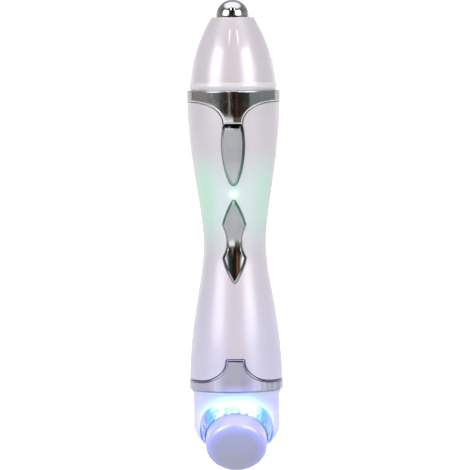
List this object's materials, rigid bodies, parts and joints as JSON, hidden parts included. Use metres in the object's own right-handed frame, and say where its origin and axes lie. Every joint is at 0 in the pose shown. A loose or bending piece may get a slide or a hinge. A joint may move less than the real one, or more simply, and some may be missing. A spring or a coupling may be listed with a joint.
{
  "type": "light therapy facial massager",
  "caption": "Hourglass wand with a pull-off cap and dome tip, a mode key, a power rocker, and an oblique treatment plate in a ring of light.",
  "frame": {"origin": "on the wand's axis at the narrowest place of the waist, where the hand holds it", "axes": "+Z along the wand to the dome tip, -Y out of the front with the keys, +X to the right seen from the front"},
  "size_m": [0.035, 0.0408, 0.1749],
  "materials": {
    "pearl_shell": "pearl moulded ABS",
    "chrome_trim": "chrome plated ABS, mirror bright",
    "polished_metal": "polished stainless steel",
    "frosted_head": "translucent moulded plastic",
    "clear_plastic": "clear acrylic",
    "inner_plastic": "moulded ABS",
    "rubber": "nitrile rubber",
    "circuit_board": "solder mask on fibreglass",
    "black_plastic": "moulded",
    "switch_metal": "tinned steel",
    "steel": "zinc plated steel",
    "spring_steel": "nickel plated spring wire",
    "contact_metal": "nickel brass sheet",
    "cell_jacket": "plain printed jacket",
    "green_lamp": "water-clear lamp, green when lit",
    "blue_lamp": "surface lamp, blue when lit",
    "ribbon": "polyimide film"
  },
  "bodies": {
    "handle": {"front_shell": "pearl_shell", "back_shell": "pearl_shell", "shell_screws": "steel", "upper_band": "chrome_trim", "lower_band": "chrome_trim", "neck_collar": "inner_plastic", "cap_seal": "rubber", "battery_holder": "inner_plastic", "battery_contact": "contact_metal", "battery_spring": "spring_steel", "battery_cell": "cell_jacket", "neck_contact": "contact_metal", "main_board": "circuit_board", "board_screws": "steel", "control_chip": "black_plastic", "boost_coil": "black_plastic", "mode_switch": "switch_metal", "upper_power_switch": "switch_metal", "lower_power_switch": "switch_metal", "rocker_pin": "steel", "signal_lens": "clear_plastic", "signal_lamp": "green_lamp", "head_shell": "frosted_head", "plate_carrier": "inner_plastic", "led_board": "circuit_board", "head_lamps": "blue_lamp", "light_ring": "clear_plastic", "treatment_plate": "polished_metal", "plate_nut": "steel", "vibration_motor": "switch_metal", "motor_bracket": "inner_plastic", "ribbon_cable": "ribbon"},
    "cap": {"top_cap": "pearl_shell", "dome_tip": "polished_metal", "tip_nut": "steel", "cap_spring": "spring_steel", "contact_disc": "contact_metal"},
    "mode_key": {"mode_button": "chrome_trim", "mode_plunger": "black_plastic"},
    "rocker": {"power_rocker": "chrome_trim"},
    "upper_plunger": {"upper_power_plunger": "black_plastic"},
    "lower_plunger": {"lower_power_plunger": "black_plastic"},
    "motor_rotor": {"motor_shaft": "steel", "motor_weight": "steel"}
  },
  "joints": [
    {"name": "cap_pull", "type": "slide", "parent": "handle", "child": "cap", "axis": [0, 0, 1], "range_m": [0, 0.03]},
    {"name": "mode_press", "type": "slide", "parent": "handle", "child": "mode_key", "axis": [0, 1, 0], "range_m": [0, 0.0005], "stiffness_N_per_m": 600},
    {"name": "rocker_tilt", "type": "hinge", "parent": "handle", "child": "rocker", "pos_m": [0, -0.0099, 0.0023], "axis": [1, 0, 0], "range_deg": [-2.5, 2.5], "stiffness_Nm_per_rad": 0.1},
    {"name": "upper_plunger_slide", "type": "slide", "parent": "handle", "child": "upper_plunger", "axis": [0, 1, 0], "range_m": [-0.00036, 0.00036]},
    {"name": "lower_plunger_slide", "type": "slide", "parent": "handle", "child": "lower_plunger", "axis": [0, 1, 0], "range_m": [-0.00036, 0.00036]},
    {"name": "motor_spin", "type": "hinge", "parent": "handle", "child": "motor_rotor", "pos_m": [0, -0.00744, -0.06731], "axis": [1, 0, 0], "continuous": true}
  ],
  "couplings": [
    {"joint": "upper_plunger_slide", "follows": "rocker_tilt", "m_per_rad": -0.008},
    {"joint": "lower_plunger_slide", "follows": "rocker_tilt", "m_per_rad": 0.008}
  ]
}
